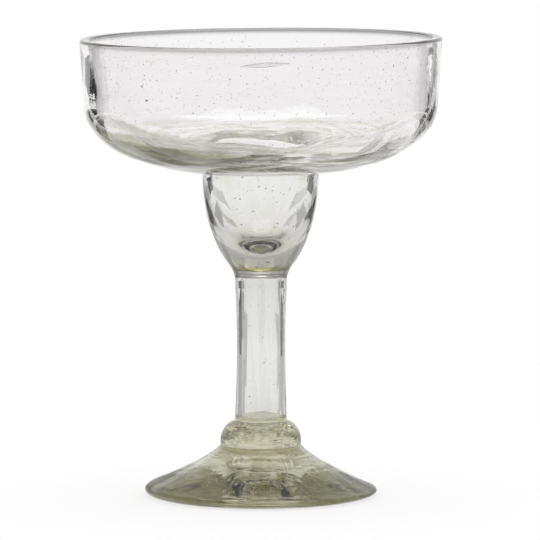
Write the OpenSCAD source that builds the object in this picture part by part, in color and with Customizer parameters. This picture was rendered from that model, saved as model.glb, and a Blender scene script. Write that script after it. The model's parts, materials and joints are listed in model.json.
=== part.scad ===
// Hand-blown margarita glass in thick recycled glass. A wide upper bowl steps down through a
// neck into a small lower bowl, which stands on a hollow drawn stem, a bead-shaped knop and a
// cone-shaped foot. Each gather of glass is one solid, and neighbours meet face to face at a
// fused seam. Millimetres, +Z up, origin on the table under the middle of the foot.

/* [Foot] */
// Widest diameter of the foot
foot_d = 86; // [72:0.2:110]
// Height of the foot, from the table to the seam under the knop
foot_h = 18.8; // [15:0.2:28]
// Thickness of the rounded edge of the foot
foot_edge = 4; // [3:0.1:7]
// How far the rounded edge reaches out past the ring that stands on the table
foot_nose = 5; // [2:0.1:6]
// Slope of the outer part of the foot, in degrees
foot_slope = 24; // [20:0.5:28]
// Slope of the foot where it climbs to the knop, in degrees
foot_neck_slope = 54; // [42:1:60]
// Diameter of the seam between the foot and the knop
foot_seam_d = 29.4; // [24:0.2:34]
// Width of the flat ring that stands on the table
rest_w = 3; // [1:0.1:6]
// Height of the hollow under the foot
kick_h = 2.4; // [1:0.1:4]
// Diameter of the pontil mark in the middle of the hollow
pontil_d = 19; // [12:0.5:26]
// Depth of the pontil mark above the hollow
pontil_depth = 1; // [0.4:0.1:2]

/* [Knop] */
// Widest diameter of the knop
knop_d = 29.7; // [26:0.1:40]
// Height of the bead, from its lower seam to the crease under its collar
knop_h = 9.2; // [8:0.1:16]
// Height of the widest line of the knop above its lower seam
knop_belly_h = 1.4; // [1:0.1:4]
// How far the rounded shoulder of the knop reaches in from its widest line
knop_shoulder = 7.4; // [6.5:0.1:9]
// Height of the collar on top of the knop, up to the floor of the bore in the stem
knop_collar_h = 1.8; // [0.6:0.1:4]

/* [Stem] */
// Height of the stem, from seam to seam
stem_h = 54.2; // [35:0.2:90]
// Diameter of the stem and the collar where they meet
stem_foot_d = 18.9; // [17:0.1:21]
// Diameter of the stem at its waist
stem_waist_d = 17.8; // [15:0.1:19]
// Height of the waist above the collar
stem_waist_h = 22.5; // [15:0.5:30]
// Diameter of the stem just under its flare
stem_top_d = 19.2; // [17:0.1:20]
// Height of the flare that meets the lower bowl
stem_flare_h = 6.4; // [4:0.2:8]
// Diameter of the seam between the stem and the lower bowl
bowl_seam_d = 21.4; // [20.4:0.1:24]
// Thickness of the wall around the air bore, at the waist
stem_wall = 1.9; // [1.4:0.1:5]
// Thickness of the solid glass over the bore
bore_roof = 0.8; // [0.6:0.1:10]
// Height of the rounded top of the bore
bore_dome_h = 2.8; // [1:0.1:6]
// Roundness of the top of the bore: 2 is an ellipse, and more is a flatter roof
bore_fullness = 4; // [2:0.1:6]

/* [Lower bowl] */
// Height of the lower bowl, from the stem to the neck
lower_h = 35.9; // [28:0.1:50]
// Outer diameter of the neck between the two bowls
neck_d = 43; // [36:0.2:56]
// Thickness of the wall at the neck
neck_wall = 3.2; // [2:0.1:5]
// Thickness of the solid glass under the lower bowl
lower_floor = 8; // [4:0.1:14]
// How far below the stem seam the outer curve of the lower bowl would close
lower_overshoot = 5; // [3:0.1:7]
// Turn of the outer curve, in degrees, before it runs out into the stem
lower_turn = 54; // [46:1:58]
// Lean of the outer wall where it meets the stem, in degrees
lower_lean = 27; // [20:1:34]
// Roundness of the inside: 2 is an ellipse, less is more pointed, and more is a fuller U shape
lower_fullness = 1.9; // [1.6:0.1:3]

/* [Upper bowl] */
// Height of the upper bowl, from the neck to the lip
upper_h = 50.2; // [40:0.2:70]
// Outer diameter across the lip
rim_d = 134; // [110:0.5:160]
// Outer diameter where the wall meets the rounded bottom
shoulder_d = 131; // [106:0.5:158]
// Height of the rounded bottom above the neck
curve_h = 26.3; // [18:0.2:34]
// How full the rounded bottom is: 0.55 is near an ellipse, and more is nearer a square corner
curve_share = 0.58; // [0.5:0.01:0.7]
// Slope of the underside where it leaves the neck, in degrees
neck_slope = 4.5; // [0:0.5:12]
// Thickness of the lip
lip_t = 3.8; // [1.6:0.1:4]
// How much of the lip's thickness each of its two corners rounds over
lip_corner_share = 0.3; // [0.1:0.05:0.5]
// Fall of the top of the lip towards the inside, in degrees
lip_fall = 5; // [0:1:20]
// Thickness of the wall where it meets the rounded bottom
upper_wall = 4.1; // [2:0.1:5]
// Thickness of the floor beside the neck
upper_floor = 6.6; // [3:0.1:8]
// How far outside the neck the inner edge begins to round over into it
neck_round = 4; // [0:0.1:8]

/* [Hidden] */

// Number of short lines that stand for each round stretch of an outline
curve_steps = 24;
$fn = 180;

// Each gather stands on the seam of the one below
knop_z = foot_h;
stem_z = knop_z + knop_h + knop_collar_h;
lower_z = stem_z + stem_h;
upper_z = lower_z + lower_h;

clear_tint = [0.88, 0.89, 0.87, 0.45];
stem_tint = [0.84, 0.84, 0.81, 0.5];
olive_tint = [0.66, 0.66, 0.55, 0.7];

// A share of one raised to a power, with its sign kept
function signed_power(share, power) = sign(share) * pow(abs(share), power);

// Points along an ellipse between two angles in degrees. A fullness over 2 swells it towards a box.
function ellipse_arc(centre, reach, from, to, fullness = 2) = [
    for (i = [0:curve_steps])
        let (turn = from + (to - from) * i / curve_steps)
        centre + [
            reach.x * signed_power(cos(turn), 2 / fullness),
            reach.y * signed_power(sin(turn), 2 / fullness)
        ]
];

// Points along a curve that leaves one end towards its guide and arrives at the other from its guide
function guided_curve(start, start_guide, end_guide, end) = [
    for (i = [0:curve_steps])
        let (t = i / curve_steps, u = 1 - t)
        u * u * u * start + 3 * u * u * t * start_guide + 3 * u * t * t * end_guide + t * t * t * end
];

// Point where a line through a, at slope_a degrees, meets a line through b, at slope_b degrees
function lines_meet(a, slope_a, b, slope_b) =
    let (x = (b.y - a.y + a.x * tan(slope_a) - b.x * tan(slope_b)) / (tan(slope_a) - tan(slope_b)))
    [x, a.y + (x - a.x) * tan(slope_a)];

// Turns an outline of [radius, height] points about the axis and lifts it to its seam
module turned(outline, z) {
    translate([0, 0, z]) rotate_extrude() polygon(outline);
}

// The foot: a cone with a hollowed back, a rounded edge and a flat ring to stand on
module foot() {
    reach = [foot_nose, foot_edge / 2];
    nose = [foot_d / 2 - reach.x, reach.y];
    ring_in = nose.x - rest_w;
    slope_turn = atan2(reach.y, reach.x * tan(foot_slope));
    slope_top = nose + [reach.x * cos(slope_turn), reach.y * sin(slope_turn)];
    seam = [foot_seam_d / 2, foot_h];
    bend = lines_meet(slope_top, -foot_slope, seam, -foot_neck_slope);
    bend_share = 2 / 3;
    pontil_r = pontil_d / 2;
    color(olive_tint) turned(concat(
        ellipse_arc(nose, reach, -90, slope_turn),
        guided_curve(slope_top, slope_top + bend_share * (bend - slope_top),
            seam + bend_share * (bend - seam), seam),
        [[0, foot_h]],
        ellipse_arc([0, kick_h], [pontil_r, pontil_depth], 90, 0),
        guided_curve([pontil_r, kick_h], [(pontil_r + ring_in) / 2, kick_h],
            [(pontil_r + ring_in) / 2, kick_h / 2], [ring_in, 0])
    ), 0);
}

// The knop: a solid bead whose shoulder rounds up to a short collar under the stem
module knop() {
    belly = [knop_d / 2, knop_belly_h];
    middle = [belly.x - knop_shoulder, knop_belly_h];
    stem_seam_r = stem_foot_d / 2;
    top_turn = acos((stem_seam_r - middle.x) / knop_shoulder);
    shoulder_rise = (knop_h - knop_belly_h) / sin(top_turn);
    foot_seam_r = foot_seam_d / 2;
    color(olive_tint) turned(concat(
        [[0, 0]],
        ellipse_arc([foot_seam_r, knop_belly_h], [belly.x - foot_seam_r, knop_belly_h], -90, 0),
        ellipse_arc(middle, [knop_shoulder, shoulder_rise], 0, top_turn),
        [[stem_seam_r, knop_h + knop_collar_h], [0, knop_h + knop_collar_h]]
    ), knop_z);
}

// The stem: a waisted tube with a flared top, whose bore the knop closes
module stem() {
    waist_r = stem_waist_d / 2;
    foot_r = stem_foot_d / 2;
    top = [stem_top_d / 2, stem_h - stem_flare_h];
    seam = [bowl_seam_d / 2, stem_h];
    bore_r = waist_r - stem_wall;
    bore_shoulder_h = stem_h - bore_roof - bore_dome_h;
    rise_share = 0.5;
    lean_share = 0.4;
    steps = [0:curve_steps];
    color(stem_tint) turned(concat(
        [for (i = steps) let (t = i / curve_steps)
            [waist_r + (foot_r - waist_r) * pow(1 - t, 2), t * stem_waist_h]],
        [for (i = steps) let (t = i / curve_steps)
            [waist_r + (top.x - waist_r) * pow(t, 2), stem_waist_h + t * (top.y - stem_waist_h)]],
        guided_curve(top, top + rise_share * [0, stem_flare_h],
            seam - lean_share * stem_flare_h * [sin(lower_lean), cos(lower_lean)], seam),
        [[0, stem_h]],
        ellipse_arc([0, bore_shoulder_h], [bore_r, bore_dome_h], 90, 0, bore_fullness),
        [[bore_r, 0]]
    ), stem_z);
}

// The lower bowl: a small thick cup on a solid base that runs out into the stem
module lower_bowl() {
    neck_r = neck_d / 2;
    sweep = lower_h + lower_overshoot;
    seam = [bowl_seam_d / 2, 0];
    turned_to = [neck_r * cos(lower_turn), lower_h - sweep * sin(lower_turn)];
    heading = [neck_r * sin(lower_turn), sweep * cos(lower_turn)];
    away = heading / norm(heading);
    runout = norm(turned_to - seam) / 2;
    inner_r = neck_r - neck_wall;
    color(clear_tint) turned(concat(
        [[0, 0]],
        guided_curve(seam, seam + runout * [sin(lower_lean), cos(lower_lean)],
            turned_to - runout * away, turned_to),
        ellipse_arc([0, lower_h], [neck_r, sweep], -lower_turn, 0),
        ellipse_arc([0, lower_h], [inner_r, lower_h - lower_floor], 0, -90, lower_fullness)
    ), lower_z);
}

// The upper bowl: a wide basin with a fire-polished lip, open at the neck into the lower bowl
module upper_bowl() {
    neck_r = neck_d / 2;
    rim_r = rim_d / 2;
    shoulder_r = shoulder_d / 2;
    lip_r = lip_corner_share * lip_t;
    lip_flat = lip_t - 2 * lip_r;
    sweep = shoulder_r - neck_r;
    edge_r = neck_r + neck_round;
    color(clear_tint) turned(concat(
        guided_curve([neck_r, 0], [neck_r, 0] + curve_share * sweep * [1, tan(neck_slope)],
            [shoulder_r, curve_h - curve_share * curve_h], [shoulder_r, curve_h]),
        ellipse_arc([rim_r - lip_r, upper_h - lip_r], [lip_r, lip_r], 0, 90 + lip_fall),
        ellipse_arc([rim_r - lip_r - lip_flat, upper_h - lip_r - lip_flat * tan(lip_fall)], [lip_r, lip_r],
            90 + lip_fall, 180),
        ellipse_arc([edge_r, curve_h], [shoulder_r - upper_wall - edge_r, curve_h - upper_floor], 0, -90),
        ellipse_arc([edge_r, 0], [neck_wall + neck_round, upper_floor], 90, 180)
    ), upper_z);
}

upper_bowl();
lower_bowl();
stem();
knop();
foot();
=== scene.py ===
# %% [markdown]
# # A hand-blown margarita glass
# The real thing is all glass: a wide bowl with a melted lip, a small cup under it, a hollow stem, a solid
# bead and a cone-shaped foot, each gathered hot and fused to the next. Clear glass has almost no colour of
# its own. What the eye reads is how the thick walls bend a white room and the dark cards that stand in it.
# So the lesson lights the room first, then turns five clean shells from the CAD outlines, and then adds the
# marks of hand work: a leaning lip, wavy walls, ripples, olive stains and trapped air. Dark patches painted
# on the skin add painted shade where the glass looks dark by refraction and reflection. Lengths are metres.

# %% Load the frame
import json
import math
import random
import bmesh
import bpy
from mathutils import Matrix, Vector, noise

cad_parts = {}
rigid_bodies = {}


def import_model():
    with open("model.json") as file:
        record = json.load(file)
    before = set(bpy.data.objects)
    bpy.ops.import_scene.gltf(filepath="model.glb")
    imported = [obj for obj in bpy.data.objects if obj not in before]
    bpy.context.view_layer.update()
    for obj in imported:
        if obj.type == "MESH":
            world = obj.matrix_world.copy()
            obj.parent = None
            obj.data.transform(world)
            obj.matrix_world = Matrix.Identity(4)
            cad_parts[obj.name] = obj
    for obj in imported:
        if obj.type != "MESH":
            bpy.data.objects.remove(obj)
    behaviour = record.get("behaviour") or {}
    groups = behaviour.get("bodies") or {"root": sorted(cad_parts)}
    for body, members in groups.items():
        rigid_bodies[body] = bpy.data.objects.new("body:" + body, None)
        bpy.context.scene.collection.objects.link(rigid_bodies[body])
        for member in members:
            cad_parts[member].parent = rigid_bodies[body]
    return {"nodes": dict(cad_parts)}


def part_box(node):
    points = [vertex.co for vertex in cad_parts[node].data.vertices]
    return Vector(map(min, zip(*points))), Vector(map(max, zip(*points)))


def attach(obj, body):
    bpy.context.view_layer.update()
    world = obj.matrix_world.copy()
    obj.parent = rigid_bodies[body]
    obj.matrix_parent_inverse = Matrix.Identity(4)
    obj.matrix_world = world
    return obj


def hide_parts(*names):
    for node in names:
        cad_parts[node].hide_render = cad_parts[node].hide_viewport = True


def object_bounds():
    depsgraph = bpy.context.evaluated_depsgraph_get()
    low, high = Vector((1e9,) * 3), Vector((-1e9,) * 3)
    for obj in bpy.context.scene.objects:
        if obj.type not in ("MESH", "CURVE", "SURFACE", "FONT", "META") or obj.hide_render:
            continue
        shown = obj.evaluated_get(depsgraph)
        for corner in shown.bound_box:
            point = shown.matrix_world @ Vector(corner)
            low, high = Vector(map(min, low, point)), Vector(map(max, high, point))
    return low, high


for leftover in list(bpy.data.objects):
    bpy.data.objects.remove(leftover)
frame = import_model()
cad_low, cad_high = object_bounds()
height = cad_high.z
print("nodes:", sorted(frame["nodes"]), "height", round(height, 4), "m")

# %% [markdown]
# ## Camera
# A long lens from two metres keeps the lip and the foot almost as flat as they look in a catalogue picture.
# A Track To constraint could aim it, but a plain tilt is easier to read and survives a change of view.

# %% Camera
scene = bpy.context.scene
camera_back = 2.02
camera_height = 0.2866
aim_height = 0.0836
aim_right = 0.00336
camera_data = bpy.data.cameras.new("camera")
camera_data.lens = 366.2
camera_data.sensor_width = 36
camera_data.clip_end = 50
camera = bpy.data.objects.new("camera", camera_data)
scene.collection.objects.link(camera)
tilt = math.atan2(camera_height - aim_height, camera_back)
camera.location = (aim_right, -camera_back, camera_height)
camera.rotation_euler = (math.pi / 2 - tilt, 0, 0)
scene.camera = camera
scene.view_settings.view_transform = "Standard"
print("camera tilt", round(math.degrees(tilt), 2), "degrees")

# %% [markdown]
# A ray that enters a glass wall meets two faces, and a ray that runs along the wall meets dozens. Blender
# stops after 12 bounces and leaves black there, so the limits go up.

# %% Bounces for thick glass
glass_bounces = 128
scene.cycles.max_bounces = glass_bounces
scene.cycles.transmission_bounces = glass_bounces
scene.cycles.glossy_bounces = glass_bounces
scene.cycles.transparent_max_bounces = 64
print("bounces", scene.cycles.max_bounces)


# %% [markdown]
# ## Writing shader maths as sums
# A node tree is easier to follow as an expression. `Value` wraps one output socket, and each operator adds
# the Math node that does it. `Tree.node` makes any other node from its type, settings and sockets.

# %% A small wrapper for shader maths
class Value:
    def __init__(self, tree, socket):
        self.tree = tree
        self.socket = socket

    def maths(self, operation, other, turned=False):
        pair = (other, self) if turned else (self, other)
        return self.tree.node("ShaderNodeMath", {"operation": operation}, {0: pair[0], 1: pair[1]})

    def __add__(self, other):
        return self.maths("ADD", other)

    def __radd__(self, other):
        return self.maths("ADD", other, True)

    def __sub__(self, other):
        return self.maths("SUBTRACT", other)

    def __rsub__(self, other):
        return self.maths("SUBTRACT", other, True)

    def __mul__(self, other):
        return self.maths("MULTIPLY", other)

    def __rmul__(self, other):
        return self.maths("MULTIPLY", other, True)


class Tree:
    def __init__(self, owner):
        owner.use_nodes = True
        self.nodes = owner.node_tree.nodes
        self.links = owner.node_tree.links
        self.nodes.clear()

    def node(self, kind, settings=None, sockets=None, out=0):
        made = self.nodes.new(kind)
        for name, value in (settings or {}).items():
            setattr(made, name, value)
        for name, value in (sockets or {}).items():
            if isinstance(value, Value):
                self.links.new(value.socket, made.inputs[name])
            else:
                made.inputs[name].default_value = value
        return Value(self, made.outputs[out]) if made.outputs else made

    def smooth_step(self, value, low, high):
        return self.node("ShaderNodeMapRange", {"interpolation_type": "SMOOTHSTEP"},
                         {"Value": value, "From Min": low, "From Max": high})

    # The Mix node's colour sockets share their names with others, so they are told apart by number.
    def multiply_colours(self, share, first, second):
        return self.node("ShaderNodeMix", {"data_type": "RGBA", "blend_type": "MULTIPLY"},
                         {0: share, 6: first, 7: second}, out=2)


# %% [markdown]
# ## A white room
# Glass on white is lit by its background: the whole room glows at 1, which is plain white. Light Path tells
# a straight look at the room from a look through glass, which also finds a dimmer ceiling, so that the
# bowl's inside is not all one tone, and from a ray that only gathers light on the table.

# %% White room
ceiling_dimming = 0.35
ceiling_start = 0.25
ceiling_full = 0.6
table_light = 0.8
world = bpy.data.worlds.new("white_room")
scene.world = world
room = Tree(world)
looks = room.node("ShaderNodeLightPath", out="Is Camera Ray")
gathers = room.node("ShaderNodeLightPath", out="Is Diffuse Ray")
direction = room.node("ShaderNodeTexCoord", out="Generated")
up = room.node("ShaderNodeSeparateXYZ", None, {0: direction}, out="Z")
walls = 1 - ceiling_dimming * room.smooth_step(up, ceiling_start, ceiling_full)
level = looks + table_light * gathers + (1 - looks - gathers) * walls
grey = room.node("ShaderNodeCombineXYZ", None, {0: level, 1: level, 2: level})
glow = room.node("ShaderNodeBackground", None, {"Color": grey, "Strength": 1.0})
room.node("ShaderNodeOutputWorld", None, {"Surface": glow})
print("white room:", len(room.nodes), "nodes")

# %% [markdown]
# ## Table
# The table is a white disc under the glass. It is part paint, which takes the glass's soft shadow, and part
# glow, which keeps it as white as the room. A look through the glass gets more glow than a straight one, or
# the foot would be dark with its own shadow. The paint fades out towards the rim of the disc, so that no
# line shows where the table ends and the room begins.

# %% Table
table_reach = 0.6
table_drop = 0.0001
table_mesh = bpy.data.meshes.new("table")
bm = bmesh.new()
bmesh.ops.create_circle(bm, cap_ends=True, radius=table_reach, segments=96)
bmesh.ops.translate(bm, verts=bm.verts, vec=(0, 0, -table_drop))
bm.to_mesh(table_mesh)
bm.free()
table = bpy.data.objects.new("table", table_mesh)
scene.collection.objects.link(table)
print("table", 2 * table_reach, "m across")

# %% Paint and glow of the table
straight_glow = 0.7
through_glow = 0.93
fade_start = 0.1
fade_end = 0.45
table_white = bpy.data.materials.new("table_white")
tree = Tree(table_white)
straight = tree.node("ShaderNodeLightPath", out="Is Camera Ray")
mirrored = tree.node("ShaderNodeLightPath", out="Is Glossy Ray")
through = mirrored.maths("MAXIMUM", tree.node("ShaderNodeLightPath", out="Is Transmission Ray"))
place = tree.node("ShaderNodeTexCoord", out="Object")
reach = tree.node("ShaderNodeVectorMath", {"operation": "LENGTH"}, {0: place}, out="Value")
near_share = straight_glow * straight + through_glow * through
white_share = near_share + (straight + through - near_share) * tree.smooth_step(reach, fade_start, fade_end)
paint = tree.node("ShaderNodeBsdfDiffuse", None, {"Color": (0.95, 0.95, 0.95, 1)})
shine = tree.node("ShaderNodeEmission", None, {"Color": (1, 1, 1, 1), "Strength": 1.0})
both = tree.node("ShaderNodeMixShader", None, {0: white_share, 1: paint, 2: shine})
tree.node("ShaderNodeOutputMaterial", None, {"Surface": both})
table_mesh.materials.append(table_white)
print("table finish:", len(tree.nodes), "nodes")

# %% [markdown]
# ## Softbox
# One large lamp overhead gives the lip its soft highlights and the table its shadow. It is weak, because
# the white room already lights everything.

# %% Softbox
lamp = bpy.data.lights.new("softbox", "AREA")
lamp.shape = "RECTANGLE"
lamp.size = 1.0
lamp.size_y = 1.0
lamp.energy = 6
softbox = bpy.data.objects.new("softbox", lamp)
scene.collection.objects.link(softbox)
softbox.location = (0, 0.1, 1.2)
lamp_aim = Vector((0, 0, 0.08))
softbox.rotation_euler = (lamp_aim - softbox.location).to_track_quat("-Z", "Y").to_euler()
print("softbox", lamp.energy, "W")


# %% [markdown]
# ## Flags on the camera stand
# On a white ground clear glass has no edges. A photographer gives it edges with dark cards, called flags,
# just outside the picture: the walls bend the cards into view where they turn away from the camera. A long
# dark flag hangs on each side behind the glass, and a short paler one on the right is for the bowl's edge.
# A wall behind the camera and one on each side of it are a little dim, and the front of the glass mirrors
# them. Six small cards with soft edges stand on the table behind the glass, low enough that mostly the
# stem, the cup and the foot bend them into view. All hang on the camera's stand and go round with it, so
# they stay out of the picture from every side. The camera itself does not see them, they cast no shadow,
# and they are not part of the glass.

# %% A card on the camera stand
def hang_card(name, corners, level, soft=0.0):
    mesh = bpy.data.meshes.new(name)
    bm = bmesh.new()
    border = bm.verts.layers.float.new("border")
    middle = bm.faces.new([bm.verts.new(corner) for corner in corners])
    if soft:
        for v in bm.verts:
            v[border] = 1
        bmesh.ops.inset_individual(bm, faces=[middle], thickness=soft)
        for v in middle.verts:
            v[border] = 0
    bm.to_mesh(mesh)
    bm.free()
    felt = bpy.data.materials.new(name)
    tree = Tree(felt)
    edge = tree.node("ShaderNodeAttribute", {"attribute_name": "border"}, out="Fac")
    tone = tree.node("ShaderNodeEmission", None, {
        "Color": (1, 1, 1, 1), "Strength": level + (1 - level) * tree.smooth_step(edge, 0, 1)})
    tree.node("ShaderNodeOutputMaterial", None, {"Surface": tone})
    mesh.materials.append(felt)
    card = bpy.data.objects.new(name, mesh)
    scene.collection.objects.link(card)
    card.parent = camera
    card.visible_camera = False
    card.visible_diffuse = False
    card.visible_shadow = False


# %% Flags behind the glass
flag_depth = -2.93


def hang_flag(name, near, far, near_heights, far_heights, level):
    near_low, near_high = near_heights
    far_low, far_high = far_heights
    corners = [(near, near_low), (far, far_low), (far, far_high), (near, near_high)]
    hang_card(name, [(*corner, flag_depth) for corner in corners], level)


hang_flag("side_flag_left", near=-0.48, far=-1.44, near_heights=(-0.16, 0.038),
          far_heights=(-0.2, 0.038), level=0.03)
hang_flag("side_flag_right", near=0.46, far=1.44, near_heights=(-0.14, 0.03),
          far_heights=(-0.2, 0.02), level=0.07)
hang_flag("bowl_flag_right", near=0.4, far=0.67, near_heights=(0.031, 0.08),
          far_heights=(0.031, 0.08), level=0.35)
print("flags:", len(camera.children))

# %% Dim walls around the camera
wall_reach = 3.0
wall_back = 0.3
wall_front = -4.3
square = [(-wall_reach, -wall_reach), (wall_reach, -wall_reach), (wall_reach, wall_reach),
          (-wall_reach, wall_reach)]
hang_card("camera_wall", [(*corner, wall_back) for corner in square], level=0.6)
for side in (-wall_reach, wall_reach):
    hang_card("side_wall", [(side, -wall_reach, wall_back), (side, wall_reach, wall_back),
                            (side, wall_reach, wall_front), (side, -wall_reach, wall_front)], level=0.65)
print("flags and walls:", len(camera.children))

# %% Small cards on the table
to_camera = Matrix.LocRotScale(camera.location, camera.rotation_euler, None).inverted()


def stand_pair(name, inner, outer, high, levels, soft):
    for side, level in zip((-1, 1), levels):
        left, right = sorted([(side * inner[0], inner[1]), (side * outer[0], outer[1])])
        corners = [(*left, 0), (*right, 0), (*right, high), (*left, high)]
        hang_card(name, [to_camera @ Vector(corner) for corner in corners], level, soft)


stand_pair("stem_card", inner=(0.045, 0.11), outer=(0.13, 0.06), high=0.038, levels=(0.5, 0.6), soft=0.006)
stand_pair("cup_card", inner=(0.06, 0.25), outer=(0.15, 0.25), high=0.05, levels=(0.62, 0.68), soft=0.014)
stand_pair("edge_card", inner=(0.16, 0.25), outer=(0.32, 0.2), high=0.055, levels=(0.15, 0.2), soft=0.014)
print("all cards:", len(camera.children))


# %% [markdown]
# ## The glass
# Recycled glass is clear in a thin wall and olive in a thick one, so its colour belongs to the depth of the
# glass, not to its surface: Volume Absorption takes away a share of the light for each metre. The surface
# gets what a blown skin has, which is cords of darker glass that run round the axis, a fire polish that is
# not quite even, and tiny dimples. A colour painted on the points, called stain_and_shade, tints the skin.
# Part of it is olive stain, and part is painted shade and painted reflection: dark patches put where the
# glass looks dark only because of what it bends and mirrors. Its alpha says how much of the cords a place
# shows. Where two gathers are fused there is no skin at all, so a face marked as seam turns transparent.

# %% Glass finish
cord_start = 0.48
cord_full = 0.6
headroom = 1.05


def blown_glass(name, absorbs, turns, width, cord_tint, cord_depth, dimple_size, dimple_depth, dullness):
    material = bpy.data.materials.new(name)
    tree = Tree(material)
    place = tree.node("ShaderNodeTexCoord", out="Object")
    level = tree.node("ShaderNodeVectorMath", {"operation": "MULTIPLY"}, {0: place, 1: (1, 1, 0)})
    reach = tree.node("ShaderNodeVectorMath", {"operation": "LENGTH"}, {0: level}, out="Value")
    around = tree.node("ShaderNodeVectorMath", {"operation": "NORMALIZE"}, {0: level})
    up = tree.node("ShaderNodeSeparateXYZ", None, {0: place}, out="Z")
    run = tree.node("ShaderNodeCombineXYZ", None, {"Z": (up - reach) * (1 / width)})
    ring = tree.node("ShaderNodeVectorMath", {"operation": "MULTIPLY_ADD"}, {
        0: around, 1: (turns, turns, turns), 2: run})
    cords = tree.node("ShaderNodeTexNoise", None, {
        "Vector": ring, "Scale": 1.0, "Detail": 2.0, "Distortion": 0.6})
    # The colour painted on the points: olive stain together with painted shade.
    stain_and_shade = tree.node("ShaderNodeAttribute", {"attribute_name": "stain_and_shade"}, out="Color")
    share = tree.node("ShaderNodeAttribute", {"attribute_name": "stain_and_shade"}, out="Alpha")
    streaks = share * tree.smooth_step(cords, cord_start, cord_full)
    tint = tree.multiply_colours(streaks, stain_and_shade, (*cord_tint, 1))
    dimples = tree.node("ShaderNodeTexNoise", None, {
        "Vector": place, "Scale": 1 / dimple_size, "Detail": 1.0})
    relief = dimple_depth * dimples + cord_depth * (share * cords)
    skin = tree.node("ShaderNodeBump", None, {"Height": relief, "Strength": 1.0, "Distance": 1.0})
    body = tree.node("ShaderNodeBsdfPrincipled", None, {
        "Base Color": tint, "Roughness": dullness * dimples, "IOR": 1.52, "Transmission Weight": 1.0,
        "Normal": skin})
    seam = tree.node("ShaderNodeAttribute", {"attribute_name": "seam"}, out="Fac")
    fused = tree.node("ShaderNodeBsdfTransparent")
    both = tree.node("ShaderNodeMixShader", None, {0: seam, 1: body, 2: fused})
    density = max(absorbs) * headroom
    kept = [1 - taken / density for taken in absorbs]
    depth = tree.node("ShaderNodeVolumeAbsorption", None, {"Color": (*kept, 1), "Density": density})
    tree.node("ShaderNodeOutputMaterial", None, {"Surface": both, "Volume": depth})
    print(name, "absorbs", absorbs, "per metre")
    return material


# %% [markdown]
# ## An outline from the CAD
# Every piece is turned about one axis, so half of its section says all there is to know. A copy of the CAD
# mesh is merged and cut by the plane of the picture, and the left half is thrown away. Long edges are then
# cut into short ones, because a wave can only bend where there are points.

# %% Outline of a piece
tiny = 1e-6
plane_slack = 1e-7
short = 0.001
most_cuts = 80


def outline_of(node):
    bm = bmesh.new()
    bm.from_mesh(frame["nodes"][node].data)
    bmesh.ops.remove_doubles(bm, verts=bm.verts, dist=tiny)
    everything = bm.verts[:] + bm.edges[:] + bm.faces[:]
    bmesh.ops.bisect_plane(bm, geom=everything, dist=plane_slack, plane_co=(0, 0, 0), plane_no=(0, 1, 0),
                           clear_inner=True, clear_outer=True)
    left_half = [v for v in bm.verts if v.co.x < -tiny]
    bmesh.ops.delete(bm, geom=left_half, context="VERTS")
    for end in [v for v in bm.verts if len(v.link_edges) == 1 and v.co.x > tiny]:
        middle = bm.verts.new((0, 0, end.co.z))
        bm.edges.new((end, middle))
    return bm


def cut_short(bm):
    for cuts in range(1, most_cuts):
        long_edges = [e for e in bm.edges if cuts <= e.calc_length() / short < cuts + 1]
        if long_edges:
            bmesh.ops.subdivide_edges(bm, edges=long_edges, cuts=cuts)


# %% Levels and bore, measured from the CAD
foot_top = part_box("foot")[1].z
knop_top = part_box("knop")[1].z
stem_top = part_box("stem")[1].z
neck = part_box("lower_bowl")[1].z
lip_reach = cad_high.x
foot_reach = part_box("foot")[1].x
stem_section = outline_of("stem")
bore = min(v.co.x for v in stem_section.verts if v.co.z < knop_top + tiny)
stem_section.free()
seam_levels = (foot_top, knop_top, stem_top, neck)
print("seams", [round(1000 * z, 1) for z in seam_levels], "bore", round(1000 * bore, 2))


# %% [markdown]
# ## The marks of the hand
# Each mark is a function of place. `ease` climbs from 0 to 1 between two values and `fall` comes down again,
# so a mark has soft ends. `waves` is a height that wanders in all directions, and `rings` is one that runs
# round the axis, as a turning tool leaves it. `stain_and_shade_tint` gives the share of red, green and blue
# that a dark spot lets through; it serves both stains and painted shade.

# %% Soft ends, waves, rings and stains
ring_waver = 0.002
waver_reach = 0.02


def ease(value, low, high):
    share = min(max((value - low) / (high - low), 0), 1)
    return share * share * (3 - 2 * share)


def fall(value, low, high):
    return 1 - ease(value, low, high)


def waves(place, size, reach):
    return size * noise.noise(place / reach)


def rings(place, size, width, turns):
    around = place.xy.normalized() * turns
    run = place.z - place.xy.length + waves(place, ring_waver, waver_reach)
    return size * noise.noise(Vector((around.x, around.y, run / width)))


def stain_and_shade_tint(olive, dark):
    return [1 - part * dark for part in olive]


# %% [markdown]
# ## The lean of the glass
# No blown glass is quite round or level. This one has a lip that dips to the left, a foot whose edge rises
# a little there, and walls that wander by up to a third of a millimetre. One function moves the points of
# every piece, so fused pieces stay together. It never lifts the lip, and it draws the wide bowl in a little,
# so that the wandering wall stays inside the CAD. `noise_vector` starts from the clock unless it is given a
# seed, and then no two runs would be alike.

# %% Lean and wander
lip_dip = 0.00054
lip_narrowing = 0.003
foot_tip = 0.0007
foot_edge_top = 0.006
resting_zone = 0.005
wander_size = 0.00035
wander_reach = 0.05
wander_seed = 5
noise.seed_set(wander_seed)


def lean(place):
    rise = ease(place.z, neck, height)
    dip = lip_dip * rise * (place.x / lip_reach - 1)
    off_table = ease(place.z, 0, resting_zone)
    edge = off_table * fall(place.z, foot_edge_top, foot_top)
    tip = -foot_tip * edge * place.x / foot_reach
    wander = wander_size * off_table * noise.noise_vector(place / wander_reach)
    narrow = 1 - lip_narrowing * rise
    return Vector((place.x * narrow + wander.x, place.y * narrow + wander.y, place.z + dip + tip))


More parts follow.
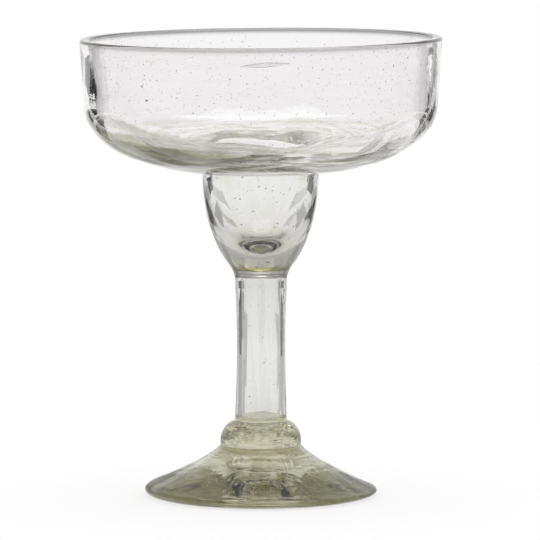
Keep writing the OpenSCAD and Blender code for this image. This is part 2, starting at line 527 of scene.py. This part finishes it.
# %% [markdown]
# ## Turning a shell
# `bmesh.ops.spin` turns the outline into a shell, as a wheel would. It gets slow as a mesh grows, so it
# turns one sector and then sets copies of that sector side by side, and the doubles are merged. Faces that
# lie on a seam are marked, and drawn back by a hundredth of a millimetre so that two pieces never share a
# face. Then `ripple`, a height above the smooth skin that each piece brings along, moves every point, and
# `stain_and_shade` colours it with the piece's stains and painted shade. Ripples die out beside a seam, so
# that fused pieces still meet.

# %% Sectors into a full turn
sectors = 12
sector_turns = 25


def turn_round(bm):
    sector = 2 * math.pi / sectors
    bmesh.ops.spin(bm, geom=bm.verts[:] + bm.edges[:], cent=(0, 0, 0), axis=(0, 0, 1),
                   angle=sector, steps=sector_turns)
    bmesh.ops.spin(bm, geom=bm.verts[:] + bm.edges[:] + bm.faces[:], cent=(0, 0, 0), axis=(0, 0, 1),
                   angle=sector * (sectors - 1), steps=sectors - 1, use_duplicate=True)
    bmesh.ops.remove_doubles(bm, verts=bm.verts, dist=tiny)
    bmesh.ops.recalc_face_normals(bm, faces=bm.faces)
    bm.normal_update()


# %% Seams, and the open disc inside one
def split_disc(bm, level, reach):
    for edge in list(bm.edges):
        a, b = edge.verts
        flat = abs(a.co.z - level) < tiny and abs(b.co.z - level) < tiny
        if flat and (a.co.x - reach) * (b.co.x - reach) < 0:
            bmesh.utils.edge_split(edge, a, (reach - a.co.x) / (b.co.x - a.co.x))


def mark_seams(bm, seams, hollow):
    mark = bm.faces.layers.float.new("seam")
    drawn_back = {}
    for face in bm.faces:
        face.smooth = True
        for level, way in seams:
            flat = all(abs(v.co.z - level) < tiny for v in face.verts)
            if flat and face.calc_center_median().xy.length > hollow:
                face[mark] = 1
                drawn_back.update({v: way for v in face.verts})
    for edge in bm.edges:
        edge.smooth = len({face[mark] for face in edge.link_faces}) == 1
    return drawn_back


# %% Turned shell
seam_gap = 0.00001
seam_zone = 0.003


def turned_shell(node, seams, ripple, stain_and_shade, hollow=0.0):
    bm = outline_of(node)
    if hollow:
        split_disc(bm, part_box(node)[1].z, hollow)
    cut_short(bm)
    turn_round(bm)
    drawn_back = mark_seams(bm, seams, hollow)
    colour = bm.verts.layers.float_color.new("stain_and_shade")
    for v in bm.verts:
        v[colour] = stain_and_shade(v.co, v.normal)
        free = min([1.0] + [ease(abs(v.co.z - level), 0, seam_zone) for level, way in seams])
        moved = lean(v.co) + free * ripple(v.co, v.normal) * v.normal
        v.co = moved - Vector((0, 0, drawn_back.get(v, 0) * seam_gap))
    return bm


# %% [markdown]
# ## Trapped air
# Seeds are bubbles as small as a grain of sand. A bubble is the skin of the glass turned inside out: a
# small sphere inside the wall whose faces point into the air. Seeds are dropped at random on the outer faces
# and then sunk into the wall. The dice start from a fixed number and the faces are sorted by place, because
# bmesh doesn't promise their order, so every run gives the same glass.

# %% A bubble inside the wall
def add_voids(bm, voids, shade):
    void_mesh = bpy.data.meshes.new("voids")
    bmesh.ops.reverse_faces(voids, faces=voids.faces)
    voids.to_mesh(void_mesh)
    voids.free()
    first = len(bm.faces)
    bm.from_mesh(void_mesh)
    bm.faces.ensure_lookup_table()
    colour = bm.verts.layers.float_color["stain_and_shade"]
    # The skin of every bubble and seed is painted grey: painted shade for the dark look that refraction
    # gives an air bubble.
    for face in bm.faces[first:]:
        face.smooth = True
        for v in face.verts:
            v[colour] = (shade, shade, shade, 0)
    bpy.data.meshes.remove(void_mesh)


# %% Seeds, scattered by area
seed_shade = 0.7
seed_stretch = (0.9, 1.6)


def corners_of(face):
    return [Vector(corner) for corner in sorted(v.co[:] for v in face.verts)]


def middle_of(face):
    corners = corners_of(face)
    return sum(corners, Vector()) / len(corners)


def round_seed():
    pearl = bpy.data.meshes.new("pearl")
    bm = bmesh.new()
    bmesh.ops.create_icosphere(bm, subdivisions=1, radius=1.0)
    bm.to_mesh(pearl)
    bm.free()
    return pearl


def scatter_seeds(bm, count, low, high, depths, sizes, luck):
    chance = random.Random(luck)
    small, large = sizes
    middles = {face: middle_of(face) for face in bm.faces}
    wall = [face for face, middle in middles.items()
            if low < middle.z < high and face.normal.xy.dot(middle.xy) > 0]
    wall.sort(key=lambda face: middles[face][:])
    spread = chance.choices(wall, [face.calc_area() for face in wall], k=count)
    pearl = round_seed()
    voids = bmesh.new()
    for face in spread:
        corners = corners_of(face)
        shares = [chance.random() for corner in corners]
        spot = sum((share * corner for share, corner in zip(shares, corners)), Vector()) / sum(shares)
        spot -= chance.uniform(*depths) * face.normal
        radius = small + (large - small) * chance.random() ** 2
        longer = Matrix.Diagonal((radius * chance.uniform(*seed_stretch), radius, radius, 1))
        turned = Matrix.Rotation(math.atan2(spot.x, -spot.y), 4, "Z")
        drop = pearl.copy()
        drop.transform(Matrix.Translation(spot) @ turned @ longer)
        voids.from_mesh(drop)
        bpy.data.meshes.remove(drop)
    bpy.data.meshes.remove(pearl)
    add_voids(bm, voids, seed_shade)


# %% [markdown]
# ## Into the scene
# A finished shell rides on the one body with its glass material, and the CAD node it stands for is hidden.

# %% Finish a piece
def finish_piece(bm, name, node, material):
    mesh = bpy.data.meshes.new(name)
    bm.to_mesh(mesh)
    bm.free()
    mesh.materials.append(material)
    piece = bpy.data.objects.new(name, mesh)
    scene.collection.objects.link(piece)
    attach(piece, "root")
    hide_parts(node)
    print(name, len(mesh.polygons), "faces")


# %% [markdown]
# ## Foot
# The foot is the most olive glass. It was pressed flat while soft: its back is wavy, with folds that run out
# from the middle, and that scrambles what shows through it into swirls. Its stain is swirled olive on the
# flanks. A dark patch on its front, facing the camera, and a darker outer ring on its back are painted shade
# for the dark core that refraction shows in the foot.

# %% Foot glass and its folds
olive_glass = blown_glass("olive_glass", absorbs=(13.5, 14, 20.5), turns=4, width=0.003,
                          cord_tint=(0.72, 0.7, 0.54), cord_depth=0.00006, dimple_size=0.004,
                          dimple_depth=0.00004, dullness=0.03)
back_turn = (0.3, 0.8)
back_rise = (0.0005, 0.003)
top_rise = (0.0005, 0.004)
fold_reach = (0.008, 0.022)
folds_around = 7
fold_length = 0.02
back_fold = 0.00045
top_fold = 0.00014


def foot_ripple(place, normal):
    reach = place.xy.length
    under = ease(-normal.z, *back_turn) * ease(place.z, *back_rise)
    around = place.xy.normalized() * folds_around
    folds = noise.noise(Vector((around.x, around.y, reach / fold_length))) * ease(reach, *fold_reach)
    back = waves(place, size=0.00035, reach=0.008) + back_fold * folds
    top = waves(place, size=0.00012, reach=0.014) + top_fold * folds
    return under * back + (1 - under) * ease(place.z, *top_rise) * top


# %% Foot stain and painted shade
# The front patch and the back ring are painted shade; the swirled flanks are olive stain.
underside_shade_turn = (0.1, 0.4)
underside_shade_reach = (0.024, 0.032)
front_shade_start = (0.017, 0.024)
front_shade_end = (0.035, 0.041)
front_shade_forward = (0, 0.008)
front_shade_side = (0.009, 0.014)
flank_start = (0.026, 0.034)
flank_end = (0.038, 0.042)
foot_cord_reach = (0.022, 0.034)
front_shade_waver = 0.002
swirl_middle = 0.6
underside_shade_dark = 0.4
flank_dark = 0.4
darkest = 0.85
foot_olive_stain_and_shade = (1, 1.02, 1.15)


def foot_stain_and_shade(place, normal):
    reach = place.xy.length
    under = ease(-normal.z, *underside_shade_turn)
    swirl = swirl_middle + waves(place, size=0.5, reach=0.005)
    flank = flank_dark * ease(reach, *flank_start) * fall(reach, *flank_end)
    # Painted shade: a dark patch on the front of the foot, facing the camera.
    front_shade = ease(-place.y, *front_shade_forward) * fall(abs(place.x + front_shade_waver * swirl), *front_shade_side)
    front_shade *= ease(reach, *front_shade_start) * fall(reach, *front_shade_end)
    # Painted shade: the outer ring of the foot's back is painted darker.
    back = underside_shade_dark * ease(reach, *underside_shade_reach)
    dark = min(under * back + (1 - under) * swirl * max(flank, front_shade), darkest)
    return (*stain_and_shade_tint(foot_olive_stain_and_shade, dark), ease(reach, *foot_cord_reach))


# %% Foot
shell = turned_shell("foot", [(foot_top, 1)], foot_ripple, foot_stain_and_shade)
scatter_seeds(shell, count=500, low=0.007, high=foot_top, depths=(0.0006, 0.0034),
              sizes=(0.0001, 0.0003), luck=3)
finish_piece(shell, "foot_cone", "foot", olive_glass)


# %% [markdown]
# ## Knop
# The knop is a solid bead, so it works as a lens. Its top closes the bore of the stem: that round patch is
# a real skin, and only the ring around it is fused. Its sides keep the rings of the tool.

# %% Knop
knop_tint = (0.97, 0.97, 0.93)
knop_cords = 0.15


def knop_ripple(place, normal):
    wide = rings(place, size=0.00014, width=0.006, turns=0.8)
    return wide + rings(place, size=0.00004, width=0.003, turns=1.5)


def knop_stain(place, normal):
    return (*knop_tint, knop_cords)


shell = turned_shell("knop", [(foot_top, -1), (knop_top, 1)], knop_ripple, knop_stain, hollow=bore)
scatter_seeds(shell, count=60, low=foot_top, high=knop_top, depths=(0.0006, 0.006),
              sizes=(0.00012, 0.0003), luck=4)
finish_piece(shell, "knop_bead", "knop", olive_glass)


# %% [markdown]
# ## Stem
# The stem was drawn out like toffee, so its waves and cords run lengthwise: the noise is stretched along Z.
# The round roof of its bore is painted dark olive, painted shade in that recess, and the base of the cup
# shows it from above as a dark olive spot.

# %% Stem
drawn_glass = blown_glass("drawn_glass", absorbs=(54, 54.8, 57), turns=3, width=0.05,
                          cord_tint=(0.95, 0.95, 0.92), cord_depth=0.0, dimple_size=0.006,
                          dimple_depth=0.00002, dullness=0.02)
drawn_wave = 0.00008
drawn_across = 0.004
drawn_along = 0.05
# Painted shade in the round roof of the bore.
roof_shade_turn = (0.2, 0.6)
roof_shade_level = (-0.007, -0.005)
roof_shade_reach = (0.0046, 0.0058)
roof_shade_olive = (0.75, 0.76, 0.9)
all_cords = 1


def stem_ripple(place, normal):
    along = Vector((place.x / drawn_across, place.y / drawn_across, place.z / drawn_along))
    return drawn_wave * noise.noise(along)


def stem_shade_and_cords(place, normal):
    # Painted shade: the roof of the bore is painted dark olive.
    roof_shade = ease(-normal.z, *roof_shade_turn) * ease(place.z - stem_top, *roof_shade_level)
    roof_shade *= fall(place.xy.length, *roof_shade_reach)
    return (*stain_and_shade_tint(roof_shade_olive, roof_shade), all_cords)


shell = turned_shell("stem", [(knop_top, -1), (stem_top, 1)], stem_ripple, stem_shade_and_cords)
scatter_seeds(shell, count=90, low=knop_top, high=stem_top, depths=(0.0005, 0.0013),
              sizes=(0.00014, 0.0003), luck=5)
finish_piece(shell, "stem_tube", "stem", drawn_glass)


# %% [markdown]
# ## Lower bowl
# A small cup on a thick solid base. The base gathers the light of the whole cup, so small waves in its
# inner face matter more than anywhere else. Its stain makes the thick base a little darker and yellower. A
# narrow olive band at the bottom, where the stem was fused on, is painted reflection: it stands for the long
# olive path that internal reflection shows in the base, and it is darker in front, facing the camera.

# %% Lower bowl
cup_glass = blown_glass("cup_glass", absorbs=(20, 20.5, 22), turns=2.5, width=0.012,
                        cord_tint=(0.95, 0.95, 0.91), cord_depth=0.0, dimple_size=0.006,
                        dimple_depth=0.00003, dullness=0.02)
base_rise = (0.002, 0.008)
base_dark = 0.08
base_yellow = 0.12
# The band is painted reflection; the darker, yellower base is the cup's olive stain.
shade_band_rise = (0.0012, 0.003)
shade_band_dark = 0.62
shade_band_front = (-0.003, 0.004)
shade_band_behind = 0.2
cup_olive_stain_and_shade = (1, 1.02, 1.14)


def cup_ripple(place, normal):
    return waves(place, size=0.00014, reach=0.014) + waves(place, size=0.00003, reach=0.005)


def cup_stain_and_shade(place, normal):
    rise = place.z - stem_top
    base = fall(rise, *base_rise)
    # Painted reflection: an olive band at the bottom of the cup, darker on the camera's side.
    camera_side = shade_band_behind + (1 - shade_band_behind) * ease(-place.y, *shade_band_front)
    dark = base_dark * base + shade_band_dark * fall(rise, *shade_band_rise) * camera_side
    red, green, blue = stain_and_shade_tint(cup_olive_stain_and_shade, dark)
    return (red, green, blue - base_yellow * base, all_cords)


shell = turned_shell("lower_bowl", [(stem_top, -1), (neck, 1)], cup_ripple, cup_stain_and_shade)
scatter_seeds(shell, count=200, low=stem_top, high=neck, depths=(0.0006, 0.0024),
              sizes=(0.00015, 0.0003), luck=6)
finish_piece(shell, "lower_bowl_cup", "lower_bowl", cup_glass)


# %% [markdown]
# ## Upper bowl
# The wall is clear and full of seeds, and near the neck it has ripples and dark cords where it was pushed
# out over the shoulder. A wedge of dark olive on the low wall, at the lower left as the camera sees it, is
# painted shade for the table's shade and the internal reflection that the wall shows there. The lip is
# painted a little darker, and much darker along its inner edge: painted shade for the grey band and dark
# line that reflection draws on the rim. One long bubble was drawn out in the front wall when the lip was
# opened.

# %% Upper bowl glass and its ripples
clear_glass = blown_glass("clear_glass", absorbs=(9, 9.2, 10.4), turns=2.2, width=0.002,
                          cord_tint=(0.66, 0.65, 0.5), cord_depth=0.00016, dimple_size=0.005,
                          dimple_depth=0.00003, dullness=0.02)
ripple_rise = (0.007, 0.018)
throat_reach = (0.026, 0.032)
calm_lip = (-0.006, -0.003)


def bowl_ripple(place, normal):
    deep = rings(place, size=0.00028, width=0.005, turns=2.5)
    deep += rings(place, size=0.00012, width=0.003, turns=4)
    deep += fall(place.xy.length, *throat_reach) * waves(place, size=0.0003, reach=0.006)
    calm = waves(place, size=0.00012, reach=0.016) * fall(place.z - height, *calm_lip)
    return calm + fall(place.z - neck, *ripple_rise) * deep


# %% Upper bowl stain and painted shade
# Painted shade on the lip and its inner edge, and a painted shade wedge on the low wall.
lip_shade_dark = 0.13
lip_shade_level = (-0.0032, -0.001)
crest_shade_dark = 0.8
crest_shade_level = (-0.0018, -0.001)
crest_shade_reach = (-0.0026, -0.0018)
shade_wedge_rise = 0.0125
shade_wedge_climb = 0.0035
shade_wedge_climb_turn = (0.5, 1.5)
shade_wedge_start_turn = (-1.9, -1.6)
shade_wedge_end_turn = (-0.6, 0.3)
shade_wedge_soft = 0.0004
outside_turn = (-0.1, 0.1)
shade_wedge_olive = (0.67, 0.68, 0.8)
faint_pink = (1, 0.988, 1)
bowl_cord_rise = (0.006, 0.013)
wall_cords = 0.06


def bowl_stain_and_shade(place, normal):
    rise = place.z - neck
    # Painted shade: the lip a little darker, its inner edge much darker.
    lip_shade = lip_shade_dark * ease(place.z - height, *lip_shade_level)
    crest_shade = crest_shade_dark * fall(place.xy.length - lip_reach, *crest_shade_reach)
    crest_shade *= ease(place.z - height, *crest_shade_level)
    lip_unshaded = (1 - lip_shade) * (1 - crest_shade)
    # Painted shade: a dark olive wedge on the low wall, at the lower left as the camera sees it.
    turn = math.atan2(place.x, -place.y)
    edge = shade_wedge_rise + shade_wedge_climb * ease(-turn, *shade_wedge_climb_turn)
    edge += waves(place, size=0.0012, reach=0.007)
    shade_wedge = fall(rise, edge - shade_wedge_soft, edge + shade_wedge_soft) * ease(-normal.z, *outside_turn)
    shade_wedge *= ease(turn, *shade_wedge_start_turn) * fall(turn, *shade_wedge_end_turn)
    colour = [pink * lip_unshaded * part for pink, part in zip(faint_pink, stain_and_shade_tint(shade_wedge_olive, shade_wedge))]
    return (*colour, wall_cords + (1 - wall_cords) * fall(rise, *bowl_cord_rise))


# %% Upper bowl shell
seedless = 0.002
shell = turned_shell("upper_bowl", [(neck, -1)], bowl_ripple, bowl_stain_and_shade)
scatter_seeds(shell, count=2200, low=neck + seedless, high=height - seedless, depths=(0.0006, 0.003),
              sizes=(0.0001, 0.00023), luck=7)

# %% The long bubble
half_wall = 0.002
wall_middle = lip_reach - half_wall
bubble_height = 0.1635
bubble_right = 0.0016
half_length = 0.0088
half_depth = 0.0015
half_height = 0.0011
bubble_taper = 0.35
bubble_slope = 0.06
bubble_shade = 0.85
voids = bmesh.new()
bmesh.ops.create_uvsphere(voids, u_segments=16, v_segments=24, radius=1.0,
                          matrix=Matrix.Rotation(math.pi / 2, 4, "Y"))
for v in voids.verts:
    along = half_length * v.co.x
    taper = 1 - bubble_taper * abs(v.co.x)
    turn = (bubble_right + along) / wall_middle
    reach = wall_middle + half_depth * taper * v.co.y
    rise = half_height * taper * v.co.z + bubble_slope * along
    v.co = (reach * math.sin(turn), -reach * math.cos(turn), bubble_height + rise)
add_voids(shell, voids, bubble_shade)
finish_piece(shell, "upper_bowl_basin", "upper_bowl", clear_glass)

# %% [markdown]
# ## Sizes
# The dressed glass must stay inside the CAD's box, which is printed here.

# %% Sizes
print("CAD", [round(1000 * x, 2) for x in (*cad_low, *cad_high)])
